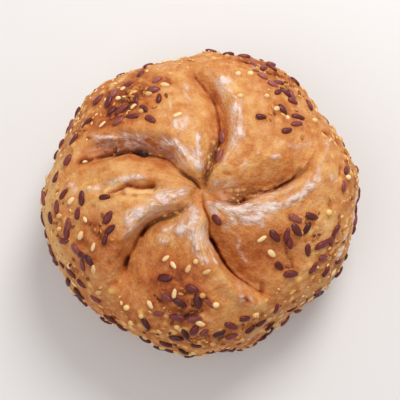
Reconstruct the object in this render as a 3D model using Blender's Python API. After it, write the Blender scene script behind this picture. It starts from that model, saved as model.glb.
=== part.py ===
"""Multigrain kaiser roll: a round bread roll with five curved petals, seeds baked onto its crust.

The roll rests on its flat base at z = 0, its middle on the Z axis, and the folds between its petals run
from the dimple in the middle of the top out to the rim, turning counterclockwise. The crust is a UV sphere
whose rings follow the roll's profile and whose meridians follow the folds. Seeds are fused to it by one
Boolean union. Lengths are in metres and angles in degrees.
"""

import math

import bmesh
import bpy
import numpy as np
from mathutils import Matrix, Vector
from mathutils.bvhtree import BVHTree

# Driving dimensions
ROLL_RADIUS = 0.0490
DOME_HEIGHT = 0.0490
WIDEST_HEIGHT = 0.0190
BASE_SINK = 0.0040
TOP_FULLNESS = 2.3
BOTTOM_FULLNESS = 2.6

# Seen from above the roll is a little oval: by how much, and at what angle it is longest. The point where
# the petals meet lies a little off the middle.
OVAL = 0.0009
OVAL_ANGLE = 18.0
SWIRL_OFFSET = (0.0006, -0.0018)

# The folds in counterclockwise order. Each starts at an angle near the middle and would sweep on by
# another angle to the rim, but flattens out at its reach, a share of the radius. Its depth is a share
# of FOLD_DEPTH, and its dent is how far the rim draws in.
FOLDS = (
    {"start": -14.7, "sweep": 54.7, "depth": 0.95, "reach": 0.80, "dent": 0.0012},
    {"start": 62.5, "sweep": 44.0, "depth": 0.85, "reach": 0.90, "dent": 0.0016},
    {"start": 129.6, "sweep": 56.4, "depth": 1.05, "reach": 0.88, "dent": 0.0006},
    {"start": 204.5, "sweep": 39.0, "depth": 0.95, "reach": 0.97, "dent": 0.0022},
    {"start": 276.5, "sweep": 39.2, "depth": 1.00, "reach": 0.93, "dent": 0.0024},
)
FOLD_TAPER = 0.26
FOLD_CURVE = 1.8
FOLD_DEPTH = 0.0088
DENT_SPREAD = 15.0
DENT_SHARE = 0.93

# A fold also waves a little to either side: by how much, how fast, and how unlike its neighbours
FOLD_WAVE = 1.6
WAVE_RATE = 7.5
WAVE_SHIFT = 2.1

# All the folds are shallower in the middle, and die away over the shoulder, given as shares of the way
# from the top of the dome to its widest level
MIDDLE_DEPTH = 0.78
MIDDLE_END = 0.25
SHOULDER_START = 0.28
SHOULDER_END = 0.98
SHOULDER_POWER = 1.15
DIMPLE_RADIUS = 0.0042

# The petals, each counterclockwise of the fold of the same number: the width of the slope that rises
# from that fold, how much of the rise goes on across the whole petal, and the width of the far flank,
# which drops into the next fold.
PETALS = (
    {"rise": 0.0095, "spread": 0.25, "flank": 0.0080},
    {"rise": 0.0060, "spread": 0.35, "flank": 0.0095},
    {"rise": 0.0045, "spread": 0.25, "flank": 0.0048},
    {"rise": 0.0040, "spread": 0.60, "flank": 0.0052},
    {"rise": 0.0050, "spread": 0.60, "flank": 0.0042},
)
WIDEST_SLOPE = 0.40
CREST = 0.72
SLOPE_POWER = 2.0
BACK_POWER = 1.5
CREASE_BLEND = 4.0

# The lip along the top of each flank, and how far the ridges lean over the folds
LIP_HEIGHT = 0.0008
LIP_WIDTH = 0.0030
LIP_START = 0.006
LIP_FULL = 0.016
LEAN = 0.32
LEAN_RADIUS = 0.006

# The short split on the left petal: its two ends, as radius and angle, how far it bows between them,
# its half width and its depth
SPLIT_ENDS = ((0.0120, 176.0), (0.0295, 177.0))
SPLIT_BOW = 0.0016
SPLIT_WIDTH = 0.0020
SPLIT_DEPTH = 0.0020
SPLIT_FADE = 0.22

# Lumps of the dough, as wavelength and height, which stop at the base
LUMP_SEED = 7
LUMPS = ((0.040, 0.0006), (0.017, 0.00028))
WAVES_EACH = 9
LUMPS_END = 100.0

# Seeds: length, width and thickness, how far the middle of a seed stands out of the crust, and how far
# the lie of the seeds strays from along the rim. They keep clear of each other, and of a fold where it
# is deeper than a share of its full depth. The crust's slope at a seed is taken over a small angle.
LINSEED = (0.0045, 0.0024, 0.0013)
SESAME = (0.0030, 0.0019, 0.0010)
SIZE_SPREAD = 0.08
SEED_RISE = 0.0001
TURN_SPREAD = 38.0
SEED_DRAW = 21
SEED_SPACING = 0.0036
SEED_FOLD_GAP = 0.0028
SEED_SHALLOW = 0.12
SEED_STEP = 0.002
LINSEED_COUNT = 150
SESAME_COUNT = 34

# Where seeds lie thickest on the petals: angle, radius, spread along the rim, spread across it, share
PATCHES = (
    {"angle": 127, "radius": 0.0360, "along": 0.0062, "across": 0.0032, "share": 24},
    {"angle": 148, "radius": 0.0430, "along": 0.0060, "across": 0.0028, "share": 10},
    {"angle": 51, "radius": 0.0435, "along": 0.0046, "across": 0.0016, "share": 12},
    {"angle": 64, "radius": 0.0425, "along": 0.0016, "across": 0.0016, "share": 4},
    {"angle": 39, "radius": 0.0345, "along": 0.0030, "across": 0.0030, "share": 6},
    {"angle": 12, "radius": 0.0450, "along": 0.0070, "across": 0.0016, "share": 5},
    {"angle": -23, "radius": 0.0347, "along": 0.0026, "across": 0.0030, "share": 9},
    {"angle": -27, "radius": 0.0430, "along": 0.0066, "across": 0.0016, "share": 12},
    {"angle": -44, "radius": 0.0364, "along": 0.0020, "across": 0.0014, "share": 3},
    {"angle": -99, "radius": 0.0360, "along": 0.0056, "across": 0.0036, "share": 20},
    {"angle": -88, "radius": 0.0445, "along": 0.0130, "across": 0.0018, "share": 24},
    {"angle": 200, "radius": 0.0322, "along": 0.0040, "across": 0.0016, "share": 6},
    {"angle": 190, "radius": 0.0425, "along": 0.0052, "across": 0.0020, "share": 9},
    {"angle": 211, "radius": 0.0440, "along": 0.0034, "across": 0.0020, "share": 8},
)

PATCH_LIMIT = 0.985

# The band of seeds all round the side: how many are drawn, and from which angle of the profile to which,
# with the angle where they lie thickest
BAND_DRAWS = 230
BAND_FROM = 58.0
BAND_THICKEST = 82.0
BAND_TO = 128.0

# Mesh: columns up the rise, across the back and down the flank of each petal, and rings down the profile
RISE_COLUMNS = 3
BACK_COLUMNS = 7
FLANK_COLUMNS = 3
PETAL_COLUMNS = RISE_COLUMNS + BACK_COLUMNS + FLANK_COLUMNS
UPPER_RINGS = 25
UPPER_END = 104.0
LOWER_RINGS = 5

CRUST_COLOUR = (0.70, 0.37, 0.13, 1.0)
CRUST_ROUGHNESS = 0.45


def smoothstep(low, high, value):
    """0 below low, 1 above high, and a smooth rise between them."""
    x = np.clip((value - low) / (high - low), 0.0, 1.0)
    return x * x * (3.0 - 2.0 * x)


def corner_angle():
    """The profile angle, from the top, at which the crust meets the flat base."""
    level = WIDEST_HEIGHT / (WIDEST_HEIGHT + BASE_SINK)
    return math.pi - math.acos(level ** (BOTTOM_FULLNESS / 2.0))


def profile(theta):
    """Radius and height of the plain dome at an angle from its top: a superellipse above the widest
    level, and another below it that the base cuts off flat."""
    sine = np.clip(np.sin(theta), 0.0, 1.0)
    cosine = np.cos(theta)
    top = cosine >= 0.0
    power = np.where(top, 2.0 / TOP_FULLNESS, 2.0 / BOTTOM_FULLNESS)
    reach = np.where(top, DOME_HEIGHT - WIDEST_HEIGHT, WIDEST_HEIGHT + BASE_SINK)
    radius = ROLL_RADIUS * sine**power
    height = WIDEST_HEIGHT + np.sign(cosine) * reach * np.abs(cosine) ** power
    return radius, np.maximum(height, 0.0)


def profile_normal(theta):
    """Outward direction across the profile, as its radial and upward parts."""
    step = 1e-4
    r_low, z_low = profile(np.maximum(theta - step, 0.0))
    r_high, z_high = profile(np.minimum(theta + step, math.pi))
    length = np.maximum(np.hypot(r_high - r_low, z_high - z_low), 1e-12)
    return (z_low - z_high) / length, (r_high - r_low) / length


def fold_share(theta):
    """Share of the way from the middle to the rim, which stays 1 below the widest level."""
    radius, _ = profile(np.minimum(theta, math.pi / 2.0))
    return radius / ROLL_RADIUS


def fold_angle(number, share):
    """Angle of a fold at a share of the radius: a curve that turns more towards the rim, with a wave."""
    fold = FOLDS[number]
    wave = FOLD_WAVE * np.sin(WAVE_RATE * share + WAVE_SHIFT * number) * share
    return np.radians(fold["start"] + fold["sweep"] * share**FOLD_CURVE + wave)


def fold_gaps(theta, azimuth):
    """Angles back to the fold clockwise of a point and on to the one counterclockwise, and the number of
    the petal between them."""
    share = fold_share(theta)
    angles = np.array([fold_angle(number, share) for number in range(len(FOLDS))])
    behind = np.mod(azimuth - angles, 2.0 * math.pi)
    petal = np.argmin(behind, axis=0)
    following = np.take_along_axis(angles, np.mod(petal + 1, len(FOLDS))[np.newaxis], axis=0)[0]
    return behind.min(axis=0), np.mod(following - azimuth, 2.0 * math.pi), petal


def fold_depth(theta):
    """How deep a fold is pressed below the dome: full on the top, and fading out just under the rim."""
    way = theta / (math.pi / 2.0)
    middle = MIDDLE_DEPTH + (1.0 - MIDDLE_DEPTH) * smoothstep(0.0, MIDDLE_END, way)
    return FOLD_DEPTH * middle * (1.0 - smoothstep(SHOULDER_START, SHOULDER_END, way)) ** SHOULDER_POWER


def carve(theta, azimuth, radius):
    """How far the folds lower the crust. A petal rises slowly from the fold clockwise of it, to a ridge
    close to the fold counterclockwise of it, where it drops steeply."""
    behind, ahead, petal = fold_gaps(theta, azimuth)
    share = fold_share(theta)
    depths = np.array([
        fold["depth"] * (1.0 - smoothstep(fold["reach"] - FOLD_TAPER, fold["reach"], share)) for fold in FOLDS
    ])
    own = np.take_along_axis(depths, petal[np.newaxis], axis=0)[0]
    following = np.take_along_axis(depths, np.mod(petal + 1, len(FOLDS))[np.newaxis], axis=0)[0]
    rise, spread, flank = (np.array([p[key] for p in PETALS])[petal] for key in ("rise", "spread", "flank"))
    width = np.maximum((behind + ahead) * radius, 1e-6)
    back = behind * radius
    on = ahead * radius
    near = np.clip(1.0 - back / np.minimum(rise, WIDEST_SLOPE * width), 0.0, 1.0) ** SLOPE_POWER
    far = np.clip(1.0 - back / (CREST * width), 0.0, 1.0) ** BACK_POWER
    gentle = (1.0 - spread) * near + spread * far
    steep = np.clip(1.0 - on / np.minimum(flank, WIDEST_SLOPE * width), 0.0, 1.0) ** SLOPE_POWER
    both = (following * steep) ** CREASE_BLEND + (own * gentle) ** CREASE_BLEND
    lowered = both ** (1.0 / CREASE_BLEND)
    middle = np.exp(-((radius / DIMPLE_RADIUS) ** 2))
    lowered = lowered + (1.0 - lowered) * middle
    ridge = np.exp(-(((on - flank) / LIP_WIDTH) ** 2)) * smoothstep(LIP_START, LIP_FULL, radius)
    fade = following * fold_depth(theta) / FOLD_DEPTH
    return fold_depth(theta) * lowered - LIP_HEIGHT * ridge * fade


def split(radius, azimuth):
    """Depth of the short split, a valley along the line between its two ends."""
    start, end = (
        np.array((r * math.cos(math.radians(a)), r * math.sin(math.radians(a)))) for r, a in SPLIT_ENDS
    )
    along = end - start
    x = radius * np.cos(azimuth) - start[0]
    y = radius * np.sin(azimuth) - start[1]
    length = float(np.hypot(*along))
    way = (x * along[0] + y * along[1]) / length**2
    off = (x * along[1] - y * along[0]) / length - SPLIT_BOW * np.sin(math.pi * np.clip(way, 0.0, 1.0))
    opening = smoothstep(-SPLIT_FADE, SPLIT_FADE, way)
    closing = 1.0 - smoothstep(1.0 - SPLIT_FADE, 1.0 + SPLIT_FADE, way)
    return SPLIT_DEPTH * np.exp(-((off / SPLIT_WIDTH) ** 2)) * opening * closing


def rim_dent(azimuth):
    """How far the rim draws in where the folds reach it."""
    total = np.zeros_like(azimuth)
    for number, fold in enumerate(FOLDS):
        centre = fold_angle(number, np.array(DENT_SHARE))
        off = np.mod(azimuth - centre + math.pi, 2.0 * math.pi) - math.pi
        total += fold["dent"] * np.exp(-((off / math.radians(DENT_SPREAD)) ** 2))
    return total


def lumps(points):
    """Soft unevenness of the dough: for each size, a sum of sine waves in seeded directions."""
    rng = np.random.default_rng(LUMP_SEED)
    total = np.zeros(points.shape[0])
    for wavelength, height in LUMPS:
        directions = rng.normal(size=(WAVES_EACH, 3))
        directions /= np.linalg.norm(directions, axis=1, keepdims=True)
        phases = rng.uniform(0.0, 2.0 * math.pi, WAVES_EACH)
        waves = np.sin(points @ directions.T * (2.0 * math.pi / wavelength) + phases)
        total += height * waves.sum(axis=1) / math.sqrt(WAVES_EACH / 2.0)
    return total


def surface(theta, azimuth):
    """Points of the crust at angles from the top and round the axis: the dome, less its folds, split and
    dents, with its lumps. Higher parts are turned on round the axis, so that ridges lean over folds."""
    radius, height = profile(theta)
    out, up = profile_normal(theta)
    upper = 1.0 - smoothstep(math.radians(LUMPS_END), corner_angle(), theta)
    low = carve(theta, azimuth, radius)
    lowered = low + split(radius, azimuth) * (theta < math.pi / 2.0)
    plain = np.stack((radius * np.cos(azimuth), radius * np.sin(azimuth), height), axis=1)
    lowered = lowered - lumps(plain) * upper
    rim = (radius / ROLL_RADIUS) ** 3
    oval = OVAL * np.cos(2.0 * (azimuth - math.radians(OVAL_ANGLE)))
    new_radius = radius - lowered * out + (oval - rim_dent(azimuth)) * rim
    new_height = height - lowered * up * (height > 0.0)
    angle = azimuth + LEAN * (fold_depth(theta) - low) / (radius + LEAN_RADIUS)
    spread = np.maximum(new_radius, 0.0)
    inner = 1.0 - (radius / ROLL_RADIUS) ** 2
    x = spread * np.cos(angle) + SWIRL_OFFSET[0] * inner
    y = spread * np.sin(angle) + SWIRL_OFFSET[1] * inner
    return np.stack((x, y, np.maximum(new_height, 0.0)), axis=1)


def ring_angles():
    """Angles of the rings from the top pole to the bottom one, the poles left out."""
    upper = np.linspace(0.0, math.radians(UPPER_END), UPPER_RINGS + 1)[1:]
    lower = np.linspace(math.radians(UPPER_END), corner_angle(), LOWER_RINGS + 1)[1:]
    inner = math.pi - 0.5 * (math.pi - corner_angle())
    return np.concatenate((upper, lower, [inner]))


def grid_azimuth(theta, petal, column):
    """Azimuth of a column of a petal: the columns of the rise and of the flank keep to those slopes, so
    that an edge of the mesh runs along the top of each."""
    at = fold_share(theta)
    start = fold_angle(petal, at)
    following = (petal + 1) % len(FOLDS)
    end = fold_angle(following, at) + (2.0 * math.pi if following == 0 else 0.0)
    width = max((end - start) * float(profile(theta)[0]), 1e-6)
    rise = min(PETALS[petal]["rise"] / width, WIDEST_SLOPE)
    flank = min(PETALS[petal]["flank"] / width, WIDEST_SLOPE)
    if column <= RISE_COLUMNS:
        share = rise * column / RISE_COLUMNS
    elif column <= RISE_COLUMNS + BACK_COLUMNS:
        share = rise + (1.0 - rise - flank) * (column - RISE_COLUMNS) / BACK_COLUMNS
    else:
        share = 1.0 - flank * (PETAL_COLUMNS - column) / FLANK_COLUMNS
    return float(start + share * (end - start))


def crust_mesh():
    """A UV sphere whose rings and meridians are moved onto the crust."""
    rings = ring_angles()
    segments = PETAL_COLUMNS * len(FOLDS)
    mesh = bpy.data.meshes.new("roll")
    shape = bmesh.new()
    bmesh.ops.create_uvsphere(shape, u_segments=segments, v_segments=len(rings) + 1, radius=1.0)
    thetas, azimuths = [], []
    for vertex in shape.verts:
        polar = math.acos(max(-1.0, min(1.0, vertex.co.z)))
        ring = round(polar / math.pi * (len(rings) + 1))
        column = round(math.atan2(vertex.co.y, vertex.co.x) / (2.0 * math.pi) * segments) % segments
        theta = 0.0 if ring == 0 else math.pi if ring > len(rings) else rings[ring - 1]
        thetas.append(theta)
        azimuths.append(grid_azimuth(np.array(theta), *divmod(column, PETAL_COLUMNS)))
    points = surface(np.array(thetas), np.array(azimuths))
    for vertex, point in zip(shape.verts, points):
        vertex.co = Vector(point)
    bmesh.ops.triangulate(shape, faces=shape.faces, quad_method="SHORT_EDGE")
    bmesh.ops.recalc_face_normals(shape, faces=shape.faces)
    shape.to_mesh(mesh)
    shape.free()
    return mesh


def patch_draws(rng):
    """Places of seeds on the petals and the rim, as angles from the top and round the axis, shuffled."""
    thetas, azimuths = [], []
    for patch in PATCHES:
        size = patch["share"]
        radius = patch["radius"] + rng.normal(0.0, patch["across"], size)
        radius = np.minimum(radius, PATCH_LIMIT * ROLL_RADIUS)
        off = rng.normal(0.0, patch["along"], size) / patch["radius"]
        thetas.append(np.arcsin((radius / ROLL_RADIUS) ** (TOP_FULLNESS / 2.0)))
        azimuths.append(math.radians(patch["angle"]) + off)
    thetas.append(np.radians(rng.triangular(BAND_FROM, BAND_THICKEST, BAND_TO, BAND_DRAWS)))
    azimuths.append(rng.uniform(0.0, 2.0 * math.pi, BAND_DRAWS))
    order = rng.permutation(sum(len(part) for part in thetas))
    return np.concatenate(thetas)[order], np.concatenate(azimuths)[order]


def spaced(points):
    """Numbers of the points that lie clear of all the points chosen before them."""
    chosen = []
    for number, point in enumerate(points):
        if not chosen or np.linalg.norm(points[chosen] - point, axis=1).min() >= SEED_SPACING:
            chosen.append(number)
    return chosen


def seed_places():
    """Where the seeds sit, as rows of points, of outward normals and of directions along the seeds, and
    how large each seed is beside the usual size."""
    rng = np.random.default_rng(SEED_DRAW)
    theta, azimuth = patch_draws(rng)
    turns = np.radians(rng.normal(0.0, TURN_SPREAD, len(theta)))
    scales = 1.0 + rng.uniform(-SIZE_SPREAD, SIZE_SPREAD, len(theta))
    points = surface(theta, azimuth)
    down = surface(theta + SEED_STEP, azimuth) - surface(theta - SEED_STEP, azimuth)
    along = surface(theta, azimuth + SEED_STEP) - surface(theta, azimuth - SEED_STEP)
    along /= np.linalg.norm(along, axis=1, keepdims=True)
    normals = np.cross(down, along)
    normals /= np.linalg.norm(normals, axis=1, keepdims=True)
    lie = np.cos(turns)[:, None] * along + np.sin(turns)[:, None] * np.cross(normals, along)
    radius, _ = profile(theta)
    behind, ahead, _ = fold_gaps(theta, azimuth)
    on_top = fold_depth(theta) > SEED_SHALLOW * FOLD_DEPTH
    clear = np.flatnonzero((np.minimum(behind, ahead) * radius > SEED_FOLD_GAP) | ~on_top)
    chosen = clear[spaced(points[clear])]
    return points[chosen], normals[chosen], lie[chosen], scales[chosen]


def add_seed(collection, tree, name, size, place):
    """One seed: a low icosphere, flattened, turned along its lie and laid on the crust."""
    point, normal, lie, scale = place
    location, _, _, _ = tree.find_nearest(Vector(point))
    bpy.ops.mesh.primitive_ico_sphere_add(subdivisions=1, radius=0.5)
    seed = bpy.context.object
    seed.name = name
    seed.data.transform(Matrix.Diagonal((*size, 1.0)) * scale)
    axes = Matrix((lie, np.cross(normal, lie), normal)).transposed()
    seed.matrix_world = Matrix.Translation(location + Vector(normal) * SEED_RISE) @ axes.to_4x4()
    for owner in list(seed.users_collection):
        owner.objects.unlink(seed)
    collection.objects.link(seed)


def crust_material():
    material = bpy.data.materials.new("crust")
    material.use_nodes = True
    shader = material.node_tree.nodes["Principled BSDF"]
    shader.inputs["Base Color"].default_value = CRUST_COLOUR
    shader.inputs["Roughness"].default_value = CRUST_ROUGHNESS
    shader.inputs["Metallic"].default_value = 0.0
    return material


def fuse(roll, collection):
    """Joins the seeds of a collection to the roll by one union, applied, and removes the seeds."""
    union = roll.modifiers.new("seeds", "BOOLEAN")
    union.operation = "UNION"
    union.operand_type = "COLLECTION"
    union.collection = collection
    union.solver = "EXACT"
    graph = bpy.context.evaluated_depsgraph_get()
    fused = bpy.data.meshes.new_from_object(roll.evaluated_get(graph))
    roll.modifiers.remove(union)
    roll.data = fused
    for seed in list(collection.objects):
        bpy.data.objects.remove(seed, do_unlink=True)
    bpy.data.collections.remove(collection)


def main():
    for old in list(bpy.data.objects):
        bpy.data.objects.remove(old, do_unlink=True)
    parts = bpy.data.collections.new("kaiser_roll")
    seeds = bpy.data.collections.new("seeds")
    bpy.context.scene.collection.children.link(parts)
    bpy.context.scene.collection.children.link(seeds)
    mesh = crust_mesh()
    roll = bpy.data.objects.new("roll", mesh)
    parts.objects.link(roll)
    tree = BVHTree.FromPolygons([v.co for v in mesh.vertices], [p.vertices for p in mesh.polygons])
    places = list(zip(*seed_places()))[: LINSEED_COUNT + SESAME_COUNT]
    for number, place in enumerate(places):
        size = LINSEED if number < LINSEED_COUNT else SESAME
        add_seed(seeds, tree, f"seed_{number}", size, place)
    fuse(roll, seeds)
    roll.data.materials.clear()
    roll.data.materials.append(crust_material())
    roll.data.shade_smooth()
    roll.data.set_sharp_from_angle(angle=math.radians(50.0))


main()
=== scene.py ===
from functools import partial
from math import acos, cos, hypot, pi, radians, sin, sqrt

import bpy
import numpy as np
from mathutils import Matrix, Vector


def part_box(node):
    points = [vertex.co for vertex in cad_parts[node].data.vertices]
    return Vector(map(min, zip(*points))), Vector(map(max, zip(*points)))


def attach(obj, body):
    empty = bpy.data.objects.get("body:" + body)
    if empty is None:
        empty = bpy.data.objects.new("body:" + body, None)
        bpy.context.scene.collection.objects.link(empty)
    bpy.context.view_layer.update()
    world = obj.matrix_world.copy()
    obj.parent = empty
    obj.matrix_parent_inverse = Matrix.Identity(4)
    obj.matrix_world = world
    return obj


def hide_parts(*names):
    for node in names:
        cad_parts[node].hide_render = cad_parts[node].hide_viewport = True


print("loading the frame")
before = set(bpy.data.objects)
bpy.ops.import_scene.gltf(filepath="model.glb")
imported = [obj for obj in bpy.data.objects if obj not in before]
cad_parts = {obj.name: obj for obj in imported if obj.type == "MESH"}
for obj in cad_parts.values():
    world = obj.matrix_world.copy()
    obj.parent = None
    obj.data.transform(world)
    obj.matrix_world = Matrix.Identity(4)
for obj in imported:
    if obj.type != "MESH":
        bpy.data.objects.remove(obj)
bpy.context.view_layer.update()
rollLow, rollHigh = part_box("roll")
rollSize = rollHigh - rollLow

dome = {
    "radius": 0.4872 * rollSize.x,  # the seeds on the rim take up the rest of the width
    "height": 0.998 * rollSize.z,
    "widestHeight": 0.019,
    "baseSink": 0.004,  # how far the full shape would reach below the flat base
    "topFullness": 2.3, "bottomFullness": 2.6,
    "oval": 0.0009, "ovalAngle": 18, "swirlOffset": (0.0006, -0.0018),
}
# The folds counterclockwise, from the one on the right. The petal of the same number follows each.
folds = {
    "start": (-14.7, 62.5, 129.6, 204.5, 276.3),
    "sweep": (54.7, 44, 56.4, 39, 33.5),
    "depth": (0.95, 0.76, 1.05, 0.95, 1),
    "reach": (0.80, 0.90, 0.88, 0.97, 0.96),
    "dent": (0.0012, 0.0016, 0.0006, 0.0022, 0.0024),
    "soft": (0, 0, 0.25, 0.35, 0.38),  # how much shallower near the middle
    "fill": (0.34, 0.26, 0.40, 0.26, 0.26),  # how far the bottom is filled up
}
petals = {
    "rise": (0.0095, 0.0060, 0.0045, 0.0040, 0.0050),
    "spread": (0.25, 0.35, 0.25, 0.60, 0.60),
    "flank": (0.0080, 0.0095, 0.0048, 0.0052, 0.0042),
}
foldForm = {
    "taper": 0.26, "curve": 1.8, "depth": 0.0088, "dentSpread": 15, "dentShare": 0.93,
    "wave": 1.6, "waveRate": 7.5, "waveShift": 2.1,
    "middleDepth": 0.78, "middleEnd": 0.25, "shoulder": (0.28, 0.98), "shoulderPower": 1.15,
    "dimpleRadius": 0.0042, "widestSlope": 0.40, "crest": 0.72, "slopePower": 2, "backPower": 1.5,
    "creaseBlend": 4, "fillWidth": 0.0013, "lipHeight": 0.0008, "lipWidth": 0.0030,
    "lipRadii": (0.006, 0.016),  # where the lip begins, and where it is full
    "lean": 0.32, "leanRadius": 0.006,
    "warp": 0.0006, "warpCell": 0.0042, "warpSeed": 33, "warpFade": (60, 80),
    "softRadii": (0.005, 0.015),  # where a soft fold grows to its full depth
    "centreShift": 0.0030,  # how far the folds at the front start below the others
    "centreSpan": 0.0045, "centreFade": (0.008, 0.020),
}
split = {
    "ends": (0.0120, 176, 0.0295, 177),  # radius and angle of each
    "bow": 0.0008, "width": 0.0021, "depth": 0.0022, "fade": 0.22,
    "gape": 1.6,  # depth in millimetres of the holes in it
}
lumps = {"seed": 7, "sizes": ((0.040, 0.0006), (0.017, 0.00028)), "waves": 9, "end": 100}

foldCount = len(folds["start"])
baseLevel = dome["widestHeight"] / (dome["widestHeight"] + dome["baseSink"])
cornerAngle = pi - acos(baseLevel ** (dome["bottomFullness"] / 2))  # where the crust meets the flat base


def smoothStep(low, high, value):  # 0 below low, 1 above high, 3x^2 - 2x^3 between
    x = np.clip((value - low) / (high - low), 0, 1)
    return x * x * (3 - 2 * x)


def between(low, high, value, soft, softHigh=None):  # 1 from low to high, with a soft edge at both
    softHigh = softHigh or soft
    rise = smoothStep(low - soft, low + soft, value)
    return rise * (1 - smoothStep(high - softHigh, high + softHigh, value))


def bell(value, width):  # 1 at zero, falling off as exp(-(value / width)^2)
    return np.exp(-((value / width) ** 2))


def turnFrom(start, azimuth):  # the turn from one angle to the other, at most a half turn either way
    return np.mod(azimuth - start + pi, 2 * pi) - pi


def unit(vectors):
    return vectors / np.linalg.norm(vectors, axis=1, keepdims=True)


def polar(radius, azimuth, height):
    return np.stack((radius * np.cos(azimuth), radius * np.sin(azimuth), height), axis=1)


def pick(rows, number):  # each point's value in the row of that number
    return np.take_along_axis(rows, number[None] % foldCount, axis=0)[0]


def domeProfile(theta):  # superellipse: radius = R sin^(2/n), height = H cos^(2/n), cut off flat at the base
    cosine = np.cos(theta)
    top = cosine >= 0
    power = np.where(top, 2 / dome["topFullness"], 2 / dome["bottomFullness"])
    reach = np.where(top, dome["height"] - dome["widestHeight"], dome["widestHeight"] + dome["baseSink"])
    radius = dome["radius"] * np.clip(np.sin(theta), 0, 1) ** power
    height = dome["widestHeight"] + np.sign(cosine) * reach * np.abs(cosine) ** power
    return radius, np.maximum(height, 0)


def domeAngle(radius, most=1):  # the same the other way round: sin^-1 of (share of the radius)^(n/2)
    return np.arcsin(np.minimum(radius / dome["radius"], most) ** (dome["topFullness"] / 2))


def domeNormal(theta):  # the profile's tangent over a small step, turned by a right angle
    step = 1e-4
    r0, z0 = domeProfile(np.maximum(theta - step, 0))
    r1, z1 = domeProfile(np.minimum(theta + step, pi))
    length = np.maximum(np.hypot(r1 - r0, z1 - z0), 1e-12)
    return (z0 - z1) / length, (r1 - r0) / length


def foldShare(theta):  # radius as a share of the dome's, which stays 1 below the widest level
    return domeProfile(np.minimum(theta, pi / 2))[0] / dome["radius"]


def foldAngle(number, share):  # start + sweep * share^curve, with a small sine wave
    wave = foldForm["wave"] * np.sin(foldForm["waveRate"] * share + foldForm["waveShift"] * number) * share
    return np.radians(folds["start"][number] + folds["sweep"][number] * share ** foldForm["curve"] + wave)


def foldAngles(share):
    return np.array([foldAngle(number, share) for number in range(foldCount)])


def foldGaps(theta, azimuth):  # angle back to one fold, angle on to the next, and the petal between them
    angles = foldAngles(foldShare(theta))
    behind = np.mod(azimuth - angles, 2 * pi)
    petal = np.argmin(behind, axis=0)
    return behind.min(axis=0), np.mod(pick(angles, petal + 1) - azimuth, 2 * pi), petal


def foldDepth(theta):  # full depth on the top, less in the middle, dying away over the shoulder
    way = theta / (pi / 2)
    middle = foldForm["middleDepth"]
    middle = middle + (1 - middle) * smoothStep(0, foldForm["middleEnd"], way)
    shoulder = 1 - smoothStep(*foldForm["shoulder"], way)
    return foldForm["depth"] * middle * shoulder ** foldForm["shoulderPower"]


def foldCarve(theta, azimuth, radius):
    # depth = fold depth * (steep^4 + gentle^4)^(1/4), where steep = (1 - distance to the next fold / flank)^2
    # and gentle mixes (1 - distance from the fold / rise)^2 with (1 - that distance / crest)^1.5. A bell
    # fills up each fold's bottom, another makes the dimple, and a third is the lip along each flank.
    form = foldForm
    behind, ahead, petal = foldGaps(theta, azimuth)
    depth, reach, soft, fill = (np.array(folds[key])[:, None] for key in ("depth", "reach", "soft", "fill"))
    depths = depth * (1 - smoothStep(reach - form["taper"], reach, foldShare(theta)))
    depths = depths * (1 - soft * (1 - smoothStep(*form["softRadii"], radius)))
    own, following = pick(depths, petal), pick(depths, petal + 1)
    rise, spread, flank = (np.array(petals[key])[petal] for key in ("rise", "spread", "flank"))
    width = np.maximum((behind + ahead) * radius, 1e-6)
    back, on = behind * radius, ahead * radius
    widest = form["widestSlope"] * width
    near = np.clip(1 - back / np.minimum(rise, widest), 0, 1) ** form["slopePower"]
    far = np.clip(1 - back / (form["crest"] * width), 0, 1) ** form["backPower"]
    gentle = (1 - spread) * near + spread * far
    steep = np.clip(1 - on / np.minimum(flank, widest), 0, 1) ** form["slopePower"]
    blend = form["creaseBlend"]
    lowered = ((following * steep) ** blend + (own * gentle) ** blend) ** (1 / blend)
    closest = np.where(back < on, petal, petal + 1) % foldCount
    lowered = lowered * (1 - fill[closest, 0] * bell(np.minimum(back, on), form["fillWidth"]))
    lowered = lowered + (1 - lowered) * bell(radius, form["dimpleRadius"])
    lip = form["lipHeight"] * bell(on - flank, form["lipWidth"]) * smoothStep(*form["lipRadii"], radius)
    return foldDepth(theta) * (lowered - lip * following / form["depth"])


def besideLine(x, y, ends, bow):
    # for a bowed line between two places, given by radius and angle: how far along it each point is, as a
    # share, how far to its right, less bow * sin(pi * share), and how long it is
    r0, a0, r1, a1 = ends
    startX, startY = r0 * cos(radians(a0)), r0 * sin(radians(a0))
    alongX, alongY = r1 * cos(radians(a1)) - startX, r1 * sin(radians(a1)) - startY
    length = hypot(alongX, alongY)
    way = ((x - startX) * alongX + (y - startY) * alongY) / length**2
    off = ((x - startX) * alongY - (y - startY) * alongX) / length
    return way, off - bow * np.sin(pi * np.clip(way, 0, 1)), length


def splitShape(radius, azimuth):  # a bell across the split's line, softened at both ends
    way, off, _ = besideLine(radius * np.cos(azimuth), radius * np.sin(azimuth), split["ends"], split["bow"])
    return bell(off, split["width"]) * between(0, 1, way, split["fade"])


def rimDent(azimuth):  # the sum of a bell at each fold's end
    off = turnFrom(foldAngles(foldForm["dentShare"])[:, None], azimuth)
    return (np.array(folds["dent"])[:, None] * bell(off, radians(foldForm["dentSpread"]))).sum(axis=0)


def softLumps(points):  # for each size, a sum of sine waves in seeded directions
    rng = np.random.default_rng(lumps["seed"])
    total = np.zeros(len(points))
    for wavelength, height in lumps["sizes"]:
        directions = unit(rng.normal(size=(lumps["waves"], 3)))
        phases = rng.uniform(0, 2 * pi, lumps["waves"])
        waves = np.sin(points @ directions.T * (2 * pi / wavelength) + phases)
        total += height * waves.sum(axis=1) / sqrt(lumps["waves"] / 2)
    return total


latticeCorner = np.array((-0.060, -0.060, -0.010))  # the noises' lattices all start here
latticeSpan = 0.120


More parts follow.
